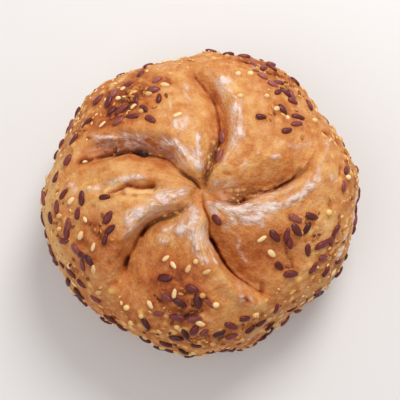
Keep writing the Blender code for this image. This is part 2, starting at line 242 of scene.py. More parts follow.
def latticeNoise(points, cell, seed):
    # smooth noise from -1 to 1: random values on a cubic lattice, blended across each cell by 3x^2 - 2x^3
    spot = (points - latticeCorner) / cell
    whole = np.floor(spot).astype(int)
    part = smoothStep(0, 1, spot - whole)
    lattice = np.random.default_rng(seed).uniform(-1, 1, (int(latticeSpan / cell) + 3,) * 3)
    total = np.zeros(len(points))
    for corner in np.ndindex(2, 2, 2):
        weight = np.where(corner, part, 1 - part).prod(axis=1)
        total += weight * lattice[tuple((whole + corner).T)]
    return total


def warpedPlace(theta, azimuth):
    # the angles of a place pushed about by smooth noise in plan, so that the folds run unevenly, and back
    # from the front near the middle, which draws the point where they meet out into a short line
    form = foldForm
    radius = domeProfile(theta)[0]
    flat = polar(radius, azimuth, 0 * radius)
    front = smoothStep(0, form["centreSpan"], -flat[:, 1]) * (1 - smoothStep(*form["centreFade"], radius))
    pushX, pushY = (form["warp"] * latticeNoise(flat, form["warpCell"], form["warpSeed"] + n) for n in (0, 1))
    x, y = flat[:, 0] + pushX, flat[:, 1] + pushY + form["centreShift"] * front
    onTop = 1 - smoothStep(*np.radians(form["warpFade"]), theta)
    turn = turnFrom(azimuth, np.arctan2(y, x))
    return theta + (domeAngle(np.hypot(x, y)) - theta) * onTop, azimuth + turn * onTop


def crustSurface(theta, azimuth, raised=0):
    # the dome moved in along its normal by folds, split and lumps and out by the fine relief, then turned
    # about the axis in proportion to its height over the folds, so that ridges lean over them
    radius, height = domeProfile(theta)
    out, up = domeNormal(theta)
    warpedTheta, warpedAzimuth = warpedPlace(theta, azimuth)
    low = foldCarve(warpedTheta, warpedAzimuth, domeProfile(warpedTheta)[0])
    lowered = low + split["depth"] * splitShape(radius, azimuth) * (theta < pi / 2) - raised
    upper = 1 - smoothStep(radians(lumps["end"]), cornerAngle, theta)
    lowered = lowered - softLumps(polar(radius, azimuth, height)) * upper
    share = radius / dome["radius"]
    oval = dome["oval"] * np.cos(2 * (azimuth - radians(dome["ovalAngle"])))
    spread = np.maximum(radius - lowered * out + (oval - rimDent(azimuth)) * share**3, 0)
    level = np.maximum(height - lowered * up * (height > 0), 0)
    angle = azimuth + foldForm["lean"] * (foldDepth(theta) - low) / (radius + foldForm["leanRadius"])
    points = polar(spread, angle, level)
    points[:, :2] += (1 - share**2)[:, None] * dome["swirlOffset"]
    return points


print("placing the seeds")
seedRule = {
    "draw": 21, "spacing": 0.0036, "foldGap": 0.0028, "shallow": 0.12,
    "turnSpread": 38, "sizeSpread": 0.08, "patchLimit": 0.985,
    "counts": (150, 34),  # the first places are for linseeds, the next for sesame
    "band": (58, 82, 128, 230),  # the seeds round the side: from, thickest, to, and how many draws
}
# Where seeds lie thickest: angle, radius, spread along the rim and across it in millimetres, and how many
seedPatches = (
    (127, 36, 6.2, 3.2, 24), (148, 43, 6, 2.8, 10), (51, 43.5, 4.6, 1.6, 12), (64, 42.5, 1.6, 1.6, 4),
    (39, 34.5, 3, 3, 6), (12, 45, 7, 1.6, 5), (-23, 34.7, 2.6, 3, 9), (-27, 43, 6.6, 1.6, 12),
    (-44, 36.4, 2, 1.4, 3), (-99, 36, 5.6, 3.6, 20), (-88, 44.5, 13, 1.8, 24), (200, 32.2, 4, 1.6, 6),
    (190, 42.5, 5.2, 2, 9), (211, 44, 3.4, 2, 8),
)
sideSeeds = {  # drawn over the side, close enough to touch
    "draw": 52, "spacing": 0.0023, "band": (76, 84, 128, 420),
    "counts": (60, 50, 40),  # linseeds, sesame, millet
    "topSizes": (0.86, 1.10),  # the range of relative sizes on the top
    "topLimit": 0.9995,
}
# The seeds on the top: millimetres from the middle, angle, and which way the seed points seen from above
topLinseeds = (
    (39.8, 180, 45), (34.6, 182, 90), (28, 182, 0), (42.2, 185, 85), (36.2, 189, 72), (44.5, 189, 100),
    (28, 194, 50), (39.6, 193, 85), (40.6, 196, 80), (42.2, 199, 5), (28.8, 201, 30), (31.3, 205, 62),
    (40.1, 204, -60), (39.6, 207, -30), (41.1, 211, 80), (38.5, 211, -60), (46.6, 211, -40),
    (45.7, 217, -35), (45.5, 225, -40), (48.3, 234, -40), (48.1, 200, 80), (47.8, 206, -60),
    (48.6, 193, 90), (46.6, 181, 90), (29.5, 245, -5), (29.9, 261, -22), (34.3, 250, -25), (34.6, 257, -30),
    (33.3, 265, 100), (34.3, 271, -45), (39.6, 250, 5), (39, 258, -8), (38.5, 265, 20), (43.5, 247, -55),
    (41.6, 266, 65), (42, 270, 50), (45, 260, 0), (43.1, 263, -65), (42.9, 276, 22), (41.8, 281, -30),
    (44.5, 281, 0), (41.3, 287, -8), (45.2, 289, 25), (45.8, 294, 8), (46.4, 268, 10), (47.2, 257, -30),
    (10.6, -71, -50), (28.8, -23, -25), (33.3, -18, -10), (30.6, -28, -50), (33.3, -24, 58),
    (28.8, -33, 80), (30.9, -35, 100), (26.1, -38, -50), (37.1, -32, -72), (39.3, -27, 40), (40.3, -25, 30),
    (41.8, -23, -62), (41.6, -18, 60), (42.5, -30, 0), (41.8, -36, 65), (45.5, -33, 72), (34.3, -47, -45),
    (38.5, -45, 4), (45, -58, 88), (48.3, -51, 28), (48.8, -45, 32), (48.7, -39, 30), (48.5, -62, 30),
    (42.9, 7, 40), (41.3, 0, 85), (47.5, -10, 80), (47.5, -26, 10), (40.6, 133, 72), (43.5, 136, 50),
    (41.3, 129, 65), (37.7, 135, 52), (35.6, 131, 32), (41.3, 122, 2), (35.3, 122, 92), (30.9, 121, -52),
    (26.1, 121, -50), (35, 112, 5), (31.6, 111, 85), (37.7, 109, 32), (42.7, 115, 62), (45.7, 111, 48),
    (30.9, 129, -10), (32.7, 136, 40), (43.1, 173, 85), (40.8, 165, 60), (41.6, 156, 55), (41.6, 147, 40),
    (27.7, 46, 0), (31.3, 31, 15), (37.7, 35, -5), (35.6, 32, 10), (35, 42, -50), (39.3, 54, -20),
    (41.3, 53, 10), (40.1, 48, -35), (41.1, 45, -60), (40.1, 43, 0), (38.5, 50, 40), (45, 39, -62),
    (42.7, 62, 45), (39.8, 60, -30), (44.5, 60, -45), (45.7, 72, -5), (45.2, 78, 10), (18.1, 66, 88),
    (11.6, 56, 62), (45.4, 61, 10), (46.1, 50, -40), (42.5, 66, -60),
)
topSesame = (
    (24.1, 239, 30), (24.5, 256, 60), (24.9, 268, 20), (32.7, 253, 80), (38.5, 245, -60), (44.1, 253, -50),
    (39.6, 268, -20), (35.3, 206, 60), (43.1, 224, 20), (46.3, 209, 80), (34.6, 192, -60), (37.7, 183, 30),
    (24.9, 246, -50), (23.7, -45, 32), (29.5, -46, -40), (46.3, -22, 70), (48.5, -46, 40), (48.8, -41, 30),
    (35.6, 106, -10), (41.1, 125, 20), (36.8, 143, 50), (23.7, 103, 20), (33.7, 44, 30), (46.7, 46, 40),
    (37.4, 199, 60), (39, 215, 70), (47.9, -30, 60), (34, 125, 40), (47.6, 215, -40), (48.9, -56, 20),
)
topMillet = (
    (22.1, 260), (42.5, 244), (41.6, 259), (31.6, 267), (34.6, 274), (47.3, 249), (32.7, 177), (30.6, 123),
    (37.7, 70), (29.9, 63), (34.3, 37), (42, 31), (44.8, 82), (43.7, 78), (45.4, 242), (46.4, 285),
    (45.4, 274), (41.8, 292), (46.6, 298), (42.7, 4), (37.7, -13), (34.3, 52), (38.8, 65), (39.3, 129),
    (34.6, 115), (37.4, 164), (41.3, 189), (42.2, 194), (42.9, 237),
)


def sideDraws(rng, band):  # triangular draws down the side and even ones round the axis, as two rows
    theta = np.radians(rng.triangular(*band))
    return np.stack((theta, rng.uniform(0, 2 * pi, len(theta))))


def patchDraws(rng, share, limit):  # the same as normal draws round each patch
    parts = []
    for angle, radius, along, across, count in seedPatches:
        size = round(share * count)
        theta = domeAngle((radius + rng.normal(0, across, size)) / 1000, limit)
        parts.append((theta, radians(angle) + rng.normal(0, along, size) / radius))
    return np.concatenate(parts, axis=1)


def loosely(rng, drawn):  # two more rows: each seed's turn from the rim's line, and its relative size
    spread, size = seedRule["sizeSpread"], drawn.shape[1]
    turn = np.radians(rng.normal(0, seedRule["turnSpread"], size))
    return np.vstack((drawn, turn, 1 + rng.uniform(-spread, spread, size)))


def pointsAt(spots):
    return crustSurface(spots[0], spots[1])


def nearest(points, others):  # the distance from each point to the nearest of the others
    return np.linalg.norm(points[:, None] - others[None], axis=2).min(axis=1)


def clearOf(points, taken, spacing):  # keeps a point if it is clear of all that are there before it
    taken, chosen = list(taken), []
    for number, point in enumerate(points):
        if not taken or np.linalg.norm(np.array(taken) - point, axis=1).min() >= spacing:
            taken.append(point)
            chosen.append(number)
    return chosen


def seedPlaces():  # draws round the patches and over the side, shuffled, and kept where they are clear
    rng = np.random.default_rng(seedRule["draw"])
    drawn = (patchDraws(rng, 1, seedRule["patchLimit"]), sideDraws(rng, seedRule["band"]))
    drawn = np.concatenate(drawn, axis=1)
    spots = loosely(rng, drawn[:, rng.permutation(drawn.shape[1])])
    behind, ahead, _ = foldGaps(spots[0], spots[1])
    shallow = foldDepth(spots[0]) <= seedRule["shallow"] * foldForm["depth"]
    apart = np.minimum(behind, ahead) * domeProfile(spots[0])[0] > seedRule["foldGap"]
    spots = spots[:, apart | shallow]
    return spots[:, clearOf(pointsAt(spots), (), seedRule["spacing"])]


def topPlaces():  # the listed places, with each seed's direction as a turn from the rim's line
    rng = np.random.default_rng(sideSeeds["draw"] + 1)
    listed = topLinseeds + topSesame + tuple((*place, 0) for place in topMillet)
    radius, angle, lie = np.array(listed, float).T
    scale = rng.uniform(*sideSeeds["topSizes"], len(radius))
    theta = domeAngle(radius / 1000, sideSeeds["topLimit"])
    return np.stack((theta, np.radians(angle), np.radians(lie - angle - 90), scale))


def sidePlaces(taken):
    rng = np.random.default_rng(sideSeeds["draw"])
    spots = loosely(rng, sideDraws(rng, sideSeeds["band"]))
    return spots[:, clearOf(pointsAt(spots), taken, sideSeeds["spacing"])]


def ofKinds(spots, kinds):  # a last row with each seed's kind: 0 for linseed, 1 for sesame, 2 for millet
    return np.vstack((spots[:, :len(kinds)], kinds[:spots.shape[1]]))


listedKinds = np.repeat((0, 1, 2), (len(topLinseeds), len(topSesame), len(topMillet)))
top = ofKinds(topPlaces(), listedKinds)
first = ofKinds(seedPlaces(), np.repeat((0, 1), seedRule["counts"]))
low = first[0] > radians(sideSeeds["band"][0])
first = first[:, low & (nearest(pointsAt(first), pointsAt(top)) > sideSeeds["spacing"])]
places = np.concatenate((top, first), axis=1)
sideKinds = np.random.default_rng(sideSeeds["draw"]).permutation(np.repeat((0, 1, 2), sideSeeds["counts"]))
places = np.concatenate((places, ofKinds(sidePlaces(pointsAt(places)), sideKinds)), axis=1)
seedPoints = pointsAt(places)
print(f"  {np.bincount(places[-1].astype(int))} linseeds, sesame seeds and millet grains")

relief = {
    "seed": 40, "emptyDraw": 40, "blisterDraw": 20, "flowDraw": 5,
    "rim": (0.66, 0.96), "sideEnd": 112,
    "uneven": ((0.0100, 0.00060), (0.0048, 0.00036), (0.0024, 0.00018)),  # cell, height
    "blisters": (  # cell, height, height where the skin is pale, share of cells
        (0.0036, 0.00026, 0.00080, 0.40), (0.0020, 0.00018, 0.00060, 0.55), (0.0012, 0.00012, 0.00034, 0.80),
    ),
    "bumpPlace": (0.1, 0.9), "bumpStrength": (0.25, 1), "bumpWidth": (0.38, 0.80),  # as shares of a cell
    "wrinkleHeight": 0.00042, "wrinkleSmooth": 0.15, "wrinkleRadii": (4, 12),
    "flowStep": 0.003, "wrinkleTurns": 9, "wrinkleLength": 0.0075, "baseFlow": 260,
    # round bumps: cell, share of cells, number of the draw
    "pits": (0.0040, 0.22, 30), "pitDepth": 0.00070,
    "crumbs": (0.0014, 0.9, 8), "crumbHeight": 0.00100, "crumbLevel": 0.45,
    "specks": (0.0024, 0.55, 50), "speckHeight": 0.00026,
    "nubs": (0.0024, 0.9, 60), "nubHeight": 0.00090, "nubLevel": 0.3, "nubTint": 0.35,
    "nubReach": 1.4,  # how far the nubs spread round a patch of seeds
    # noises: mean, swing, cell, number of the draw
    "markEdge": (1, 0.45, 0.0022, 15), "tornEdge": (1, 0.5, 0.0030, 13), "holes": (0, 1, 0.0026, 14),
    "splitFloor": (0.74, 0.85, 0.0017, 16),
    "crackDepth": (0.60, 0.75, 0.0042, 11), "crackWidth": (1, 0.35, 0.0016, 12),
    "crackLimits": (0.15, 1.15), "holed": (0.05, 0.35), "crackEnd": 0.9, "crackDark": 0.0012,
    "tornStart": 0.45, "tornEnd": 2.5, "splitTorn": (2, -0.5), "strokeHeight": 0.00040,
    "bandSoft": 0.35, "bandEnds": (3, 5),  # soft edges: a share of the band's width, millimetres at its ends
    # sockets: from, thickest, to and how many draws, then the spread of their turns, their size and depth
    "emptyBand": (40, 78, 110, 42), "emptyTurn": 35, "emptySize": (0.0021, 0.0010), "emptyDepth": 0.00050,
    "socketHeight": 0.00040, "socketRadius": 0.0026, "creaseShadeWidth": 1.6,
}

# Millimetres from here on. Where a fold gapes: the fold, the radii it runs between, how wide and how deep it
# is, and whether it only has single holes. Then torn dough, and how far it reaches to both sides of a fold.
cracks = (
    (2, 1, 38, 0.42, 0.75, 0), (2, 21.5, 26.2, 0.8, 3, 0), (2, 29.2, 31.4, 0.75, 2.6, 0),
    (2, 33.4, 35.2, 0.7, 2.4, 0), (2, 36.6, 38.4, 0.6, 2, 0), (2, 6, 14, 0.45, 0.9, 0),
    (3, 15, 37, 0.42, 0.75, 0), (3, 21.2, 24, 0.7, 2.4, 0), (3, 31.2, 36.2, 0.7, 2.6, 0),
    (4, 1, 38.5, 0.45, 1, 0), (4, 13.5, 20.6, 0.68, 2.6, 0), (4, 20.5, 29, 0.55, 1.5, 0),
    (0, 6, 30, 0.62, 1.6, 1), (0, 10, 36, 0.4, 0.6, 0), (1, 4, 38, 0.45, 0.85, 0),
)
tornFolds = (
    (0, 8, 33, 2.1), (1, 2, 16, 1.8), (2, 18, 33, 1.2), (2, 2, 9, 1.2), (3, 6, 24, 1.1),
)

# Pale bands of blistered skin, partly painted highlight and sheen, and darker bands, partly browner crust
# and partly painted shade on flanks turned from the light: the fold they follow, on which side of it, the
# distances from it, the radii, and the strength. Then patches of darker crust, or of lighter crust where the
# strength is negative, partly browning and partly painted shade and painted light: angle, radius, spread
# along the rim and across it, and strength.
paleBands = (
    (2, -1, 1, 7, 7, 36, 0.42), (1, -1, 3.4, 8, 13, 36, 0.45), (0, -1, 1.2, 5, 4, 28, 0.45),
    (3, -1, 1.5, 7, 8, 26, 0.45), (4, -1, 1, 8.5, 5, 20, 0.5), (0, 1, 0.3, 3, 4, 12, 0.35),
)
darkBands = (
    (0, 1, 0, 9, 10, 34, 0.14), (2, -1, 0, 6.5, 12, 36, 0.5), (1, -1, 0, 3.4, 10, 38, 0.4),
    (2, 1, 0, 3.8, 10, 38, 0.18), (4, 1, 0, 8, 8, 34, 0.25), (1, 1, 0, 2.6, 10, 40, 0.26),
)
darkPatches = (
    (-112, 29, 9, 9, 0.66), (-47, 26.5, 9, 8, 0.54), (-20, 38, 9, 6, -0.3), (210, 34, 8.5, 8.5, 0.3),
    (130, 37, 11, 7, 0.58), (72, 45, 12, 5, 0.32), (180, 45, 11, 4, -0.5), (-99, 11, 2.4, 7.5, -0.34),
    (95, 30, 8, 8, -0.12), (-98, 38, 6, 4, 0.26), (203, 45.5, 10, 4, -0.42), (231, 45, 8, 4, 0.26),
    (182, 22.5, 3, 8, -0.28),
)

# Marks on the skin as bowed lines: radius and angle of each end, how far the line bows to its right, its
# half width and how strong it is. Pale ones, whitish skin that is partly painted highlight, also have how
# far they stand up. Dark ones are gapes, darkened with painted shade.
paleStrokes = (
    (18.6, 102, 21.2, 99, 0.3, 1.5, 0.98, 0.3), (21.4, 106, 19.4, 107, 0, 0.9, 0.9, 0.3),
    (34, 95, 28.5, 95, 0.3, 0.9, 0.5, 0.2), (15.2, 88, 10.6, 88, 0.2, 1, 1.2, 0.4),
    (8.8, 38, 12.5, 52, 0.2, 0.8, 0.45, 0.2), (12.8, 112, 6.5, 88, -0.3, 1.1, 1.2, 0.4),
    (21.5, 131, 15, 113, 0.4, 1, 0.8, 0.3), (36.5, 150, 30, 143, 0.4, 0.9, 0.75, 0.3),
    (45, 110, 44, 100, 0, 1.5, 0.3, 0), (26.5, 138, 23, 133, 0, 0.7, 0.5, 0.3),
    (34.8, 75, 34, 73, 0, 1.5, 1.15, 0.3), (31.8, 71, 31.2, 70, 0, 0.8, 0.9, 0.4),
    (29.5, 67, 26.5, 63, -0.8, 0.6, 0.75, 0.3), (28.6, 61, 25.8, 58, 0.7, 0.5, 0.6, 0.3),
    (25.6, 59, 22, 53, -0.6, 0.6, 0.8, 0.3), (20.9, 51, 19.4, 48, 0, 1.1, 1.2, 0.4),
    (18.2, 49, 16, 46, 0, 0.6, 0.6, 0.2), (15, 24, 13.8, 20, 0, 1.1, 0.45, 0.1),
    (19.4, 25.4, 25.3, 18.3, 0.6, 0.5, 0.8, 0.5), (28, 25.8, 32.4, 20.6, 0.5, 0.55, 0.6, 0.4),
    (33, 21.6, 36.2, 20.6, 0.3, 0.5, 0.55, 0.4), (1.6, -56, 3.5, 12, 0, 0.55, 0.75, 0.15),
    (3.5, 12, 8, 8, -0.3, 0.5, 0.8, 0.15), (7.2, -57, 14.9, -33, 0.5, 1.8, 1.05, 0.4),
    (14.9, -33, 22.9, -18.7, 0.5, 1.6, 1.05, 0.4), (22.9, -18.7, 31.3, -3.2, 0.9, 1.2, 0.95, 0.4),
    (31.3, -3.2, 33.7, 1.1, 0, 1.3, 0.6, 0.2), (33.5, 3, 35.3, 10.1, 0.2, 1, 0.32, 0),
    (12.5, -52, 19.8, -34, 0.5, 2.2, 0.85, 0.2), (4.1, -69, 4.6, -60, 0, 0.8, 0.85, 0.3),
    (16.5, -46, 15.8, -52, 0, 0.7, 0.5, 0.3), (6, -122, 10.5, -112, 0, 1.7, 1, 0.3),
    (9, -116, 15.5, -104, 0, 1.5, 0.95, 0.2), (13.2, -122, 14.8, -123, 0, 1.5, 1.2, 0.4),
    (12, -105, 18.5, -101, 0.3, 1.4, 0.95, 0.4), (15.5, -104, 21.6, -93.5, 0.4, 1.1, 0.75, 0.2),
    (15.3, -132, 16.6, -135, 0, 1.2, 0.6, 0.3), (12.5, -96, 22.5, -84, 0.6, 0.9, 0.6, 0.3),
    (18, -128, 19.6, -131, 0, 1.6, 0.6, 0.2), (15.5, -166, 21.5, -160.5, 0, 1.8, 0.82, 0.3),
    (12.5, -171, 5.8, -175, 0, 1.4, 0.88, 0.3), (17, 165, 20.5, 165.5, 0, 0.8, 1, 0.5),
    (27.5, 173, 22, 168, -0.2, 0.8, 0.95, 0.5), (31, 176.5, 33.5, 177.5, 0, 0.9, 0.9, 0.4),
    (37, 178, 38.5, 176, 0, 0.7, 0.7, 0.3), (45.5, -17, 46.5, -26, 0, 0.6, 0.9, 0.3),
    (47.2, 2, 47.5, -13, 0, 0.5, 0.8, 0.3), (38, 3, 39.5, 1, 0, 0.6, 0.65, 0.3),
    (32, -71, 35.5, -73, 0.4, 1.1, 0.55, 0.2), (18.1, -55.7, 26.9, -61.2, 1.3, 0.7, 0.32, 0.1),
    (25, 112, 30, 106, 0.9, 0.6, 0.35, 0.2), (40.5, 60, 42, 66, 0, 0.9, 0.3, 0.2),
    (36.5, 10.7, 42.7, 21.9, 0.3, 0.8, 0.35, 0.1), (33, -66, 38.5, -69, 0.6, 0.7, 0.4, 0.1),
)
darkStrokes = (
    (27.4, 178.5, 22.5, 172.2, 0.2, 0.55, 1), (22.5, 172.2, 15.2, 170, 0.3, 0.75, 1),
    (7.6, 20, 8.4, 17, 0, 0.6, 0.45), (6.6, -30, 7.3, -27, 0, 0.5, 0.5),
    (39.8, -99.5, 36.5, -92.6, -0.8, 0.35, 0.55), (35.9, -115, 36.2, -110, 0.5, 0.35, 0.45),
    (32.7, -91, 35.3, -88, 0.5, 0.35, 0.45), (31.3, -98.5, 32.4, -103, 0.4, 0.3, 0.4),
    (39.6, 125.4, 33.7, 123.3, 0.6, 0.35, 0.45), (44.8, 129.6, 41, 131, 0.5, 0.35, 0.45),
    (40.3, 117, 35, 114.2, -0.6, 0.35, 0.45), (35.8, -71.5, 37.4, -70, 0, 0.45, 0.6),
    (27.4, 150.5, 30.2, 153.8, 0, 0.85, 1), (31.8, 155.8, 33.8, 158.6, 0, 0.65, 0.9),
    (36, 161.8, 38, 164.6, 0, 0.6, 0.8), (24.4, 178, 23.2, 179, 0, 0.45, 0.7),
    (20.8, 180.5, 19.8, 181.5, 0, 0.45, 0.7), (27, 180.2, 26.2, 181, 0, 0.35, 0.6),
    (30.6, -36.7, 35.9, -40.5, 0.7, 0.35, 0.4),
)


def cellBumps(points, cell, share, seed):
    # one round bump in that share of the cells of a lattice, at a random place, width and height, and its
    # height at each point is strength * (1 - (distance / width)^2)^2: the tallest one that reaches it
    rng = np.random.default_rng(seed)
    spot = (points - latticeCorner) / cell + 1
    whole = np.floor(spot).astype(int)
    size = (int(latticeSpan / cell) + 5,) * 3
    offset = rng.uniform(*relief["bumpPlace"], (*size, 3))
    strength = rng.uniform(*relief["bumpStrength"], size) * (rng.uniform(size=size) < share)
    width = rng.uniform(*relief["bumpWidth"], size)
    total = np.zeros(len(points))
    for shift in np.ndindex(3, 3, 3):
        near = whole + shift - 1
        key = tuple(near.T)
        away = ((spot - near - offset[key]) ** 2).sum(axis=1) / width[key] ** 2
        total = np.maximum(total, strength[key] * np.clip(1 - away, 0, 1) ** 2)
    return total


def flowPlace(theta, azimuth):
    # the azimuth with the mean sweep of the folds taken off, as a point on a circle, and the way down the
    # dome: noise read there runs along the petals
    angle = azimuth - np.radians(np.mean(folds["sweep"]) * foldShare(theta) ** foldForm["curve"])
    return polar(relief["wrinkleTurns"], angle, dome["radius"] * theta / relief["wrinkleLength"])


def bandMask(band, radius, gaps):  # a band between two distances from a fold and between two radii
    fold, side, near, far, inner, outer, strength = band
    behind, ahead, petal = gaps
    distance = (behind if side > 0 else ahead) * radius
    mine = petal == (fold if side > 0 else (fold - 1) % foldCount)
    soft = relief["bandSoft"] * (far - near)
    across = smoothStep(near - soft, near + soft, distance) if near else 1
    across = across * (1 - smoothStep(far - soft, far + soft, distance))
    return strength * across * between(inner, outer, radius, *relief["bandEnds"]) * mine


def patchMask(patch, radius, azimuth, reach=1):  # a bell across the radius times a bell along the rim
    angle, middle, along, across, _ = patch
    off = turnFrom(radians(angle), azimuth) * middle
    return bell(radius - middle, reach * across) * bell(off, reach * along)


def strokeMask(strokes, radius, azimuth, ragged=1):
    # the largest of strength * a bell of the distance to each bowed line, and of that times how far it
    # stands up
    x, y = radius * np.cos(azimuth), radius * np.sin(azimuth)
    total, stood = np.zeros_like(x), np.zeros_like(x)
    for *ends, bow, width, strength, stands in strokes:
        way, off, length = besideLine(x, y, ends, bow)
        past = (way - np.clip(way, 0, 1)) * length
        here = strength * bell(np.hypot(off, past), width * ragged)
        total, stood = np.maximum(total, here), np.maximum(stood, here * stands)
    return total, stood


def roundBumps(points, centres, radius):  # the largest of (1 - (distance / radius)^2)^2
    total = np.zeros(len(points))
    for centre in centres:
        near = np.flatnonzero(np.abs(points - centre).max(axis=1) < radius)
        fall = 1 - ((points[near] - centre) ** 2).sum(axis=1) / radius**2
        total[near] = np.maximum(total[near], np.clip(fall, 0, 1) ** 2)
    return total


def tangentFrame(theta, azimuth, turn):
    # a place with a lengthways, a sideways and an outward unit vector: the outward one is the surface
    # normal from two small steps, and the lengthways one lies along the rim, turned by the given angle
    step = 0.008
    down = crustSurface(theta + step, azimuth) - crustSurface(theta - step, azimuth)
    along = crustSurface(theta, azimuth + step) - crustSurface(theta, azimuth - step)
    normal = unit(np.cross(down, along))
    along = unit(along - (along * normal).sum(axis=1, keepdims=True) * normal)
    length = along * np.cos(turn)[:, None] + np.cross(normal, along) * np.sin(turn)[:, None]
    return crustSurface(theta, azimuth), length, np.cross(normal, length), normal


def emptySocketMask(points):  # ovals where a seed came off: the largest of (1 - its squared oval distance)
    rng = np.random.default_rng(relief["seed"] + relief["emptyDraw"])
    long, wide = relief["emptySize"]
    drawn = sideDraws(rng, relief["emptyBand"])
    turn = np.radians(rng.normal(0, relief["emptyTurn"], drawn.shape[1]))
    total = np.zeros(len(points))
    for spot, along, across, _ in zip(*tangentFrame(*drawn, turn)):
        near = np.flatnonzero(np.abs(points - spot).max(axis=1) < long)
        off = points[near] - spot
        away = (off @ along / long) ** 2 + (off @ across / wide) ** 2
        total[near] = np.maximum(total[near], np.clip(1 - away, 0, 1))
    return total


def crackDepth(radius, azimuth, toFolds, noise):
    # depth * a bell across the fold, its depth and width unsteady, and the holes in the split
    unsteady = np.clip(noise("crackDepth"), *relief["crackLimits"])
    strengths = unsteady, smoothStep(*relief["holed"], noise("holes"))
    ragged = noise("crackWidth")
    strokes = [(*stroke, 0) for stroke in darkStrokes]  # 0 because they don't stand up
    total = split["gape"] * strokeMask(strokes, radius, azimuth)[0] * ragged
    for fold, inner, outer, width, depth, holed in cracks:
        here = depth * strengths[holed] * bell(toFolds[fold], width * ragged)
        total = np.maximum(total, here * between(inner, outer, radius, relief["crackEnd"]))
    return total / 1000


def tornShare(radius, splitShare, toFolds, noise):  # where the dough is torn: along folds and in the split
    ragged = noise("tornEdge")
    total = np.clip(np.polyval(relief["splitTorn"], splitShare), 0, 1)
    for fold, inner, outer, reach in tornFolds:
        across = 1 - smoothStep(relief["tornStart"], 1, toFolds[fold] / (reach * ragged))
        total = np.maximum(total, across * between(inner, outer, radius, relief["tornEnd"]))
    return total


def fineRelief(theta, azimuth, withSockets=True):
    # unevenness + blisters + wrinkles along the petals - pits + crumbs of torn dough - cracks + raised
    # marks + specks + nubs + the rim of crust round each seed, with the masks that colour the crust, painted
    # shade and painted highlight among them
    points = crustSurface(theta, azimuth)
    seed = relief["seed"]

    def noise(key):
        mean, swing, cell, number = relief[key]
        return mean + swing * latticeNoise(points, cell, seed + number)

    def bumps(key):
        cell, share, number = relief[key]
        return cellBumps(points, cell, share, seed + number)

    onTop = theta < pi / 2
    side = 1 - smoothStep(radians(relief["sideEnd"]), cornerAngle, theta)
    rim = smoothStep(*relief["rim"], foldShare(theta))
    radius = 1000 * domeProfile(theta)[0]
    marks, stood = (mask * onTop for mask in strokeMask(paleStrokes, radius, azimuth, noise("markEdge")))
    cluster = np.max([patchMask(patch, radius, azimuth, relief["nubReach"]) for patch in seedPatches], axis=0)
    theta, azimuth = warpedPlace(theta, azimuth)
    radius = 1000 * domeProfile(theta)[0]
    gaps = foldGaps(theta, azimuth)
    gap = np.minimum(*gaps[:2])
    toFolds = np.abs(turnFrom(foldAngles(foldShare(theta)), azimuth)) * radius
    # pale skin: partly whitish bloom, partly painted highlight and sheen
    pale = np.clip(sum(bandMask(band, radius, gaps) for band in paleBands) * onTop + marks, 0, 1)
    # darker bands and patches: browner crust with painted shade, and painted light where the strength is
    # negative
    dark = sum(bandMask(band, radius, gaps) for band in darkBands)
    dark = (dark + sum(patch[-1] * patchMask(patch, radius, azimuth) for patch in darkPatches)) * onTop
    total = sum(
        height * latticeNoise(points, cell, seed + number)
        for number, (cell, height) in enumerate(relief["uneven"])
    )
    blisters = 0
    for number, (cell, height, paleHeight, share) in enumerate(relief["blisters"]):
        blister = cellBumps(points, cell, share, seed + relief["blisterDraw"] + number)
        blisters = blisters + blister
        total += blister * (height + (paleHeight - height) * pale)
    flow = flowPlace(theta, azimuth)
    step = relief["flowStep"]
    wrinkle = 1 - 2 * np.abs(latticeNoise(flow * step, step, seed + relief["flowDraw"]))
    wrinkle = wrinkle * (relief["wrinkleSmooth"] + (1 - relief["wrinkleSmooth"]) * pale)
    total += relief["wrinkleHeight"] * wrinkle * smoothStep(*relief["wrinkleRadii"], radius)
    pits = bumps("pits") ** 2
    empty = np.sqrt(emptySocketMask(points))
    total -= relief["pitDepth"] * pits + relief["emptyDepth"] * empty
    splitShare = splitShape(radius / 1000, azimuth)
    torn = tornShare(radius, splitShare, toFolds, noise) * onTop
    crumbs = np.maximum(bumps("crumbs"), splitShare * noise("splitFloor"))
    total += relief["crumbHeight"] * torn * (crumbs - relief["crumbLevel"])
    gape = crackDepth(radius, azimuth, toFolds, noise) * onTop
    total -= gape - relief["strokeHeight"] * stood
    specks = bumps("specks") * rim * side
    total += relief["speckHeight"] * specks
    nubs = bumps("nubs")
    total += relief["nubHeight"] * cluster * onTop * (nubs - relief["nubLevel"])
    if withSockets:
        total += relief["socketHeight"] * roundBumps(points, seedPoints, relief["socketRadius"])
    # painted shade: the depth of the gapes and holes becomes a mask that darkens them, as the pits and empty
    # sockets are darkened too
    gape = np.clip(gape / relief["crackDark"], 0, 1)
    return total * side, {
        "pale": pale, "dark": dark, "marks": marks, "specks": specks, "blisters": blisters, "torn": torn,
        "crumbs": crumbs, "pits": pits, "empty": empty, "gape": gape, "base": 1 - side, "onTop": onTop,
        # painted light and shade: lighter on the nubs' tops and darker between them, among the seeds
        "nubs": cluster * onTop * (nubs - relief["nubTint"]),
        "flow": flow + (relief["baseFlow"] * points - flow) * (1 - side)[:, None],
        # painted shade: darker along the bottoms of the folds, as much as the fold is deep
        "creaseShade": bell(gap * radius, relief["creaseShadeWidth"]) * foldDepth(theta) / foldForm["depth"],
    }


print("making the crust")
crustGrid = {
    "petalColumns": 78, "crowding": 0.55,  # how far the columns draw together beside the folds
    "rings": (190, 28, 16), "topEnd": 104,  # over the top, down the side and over the base
}


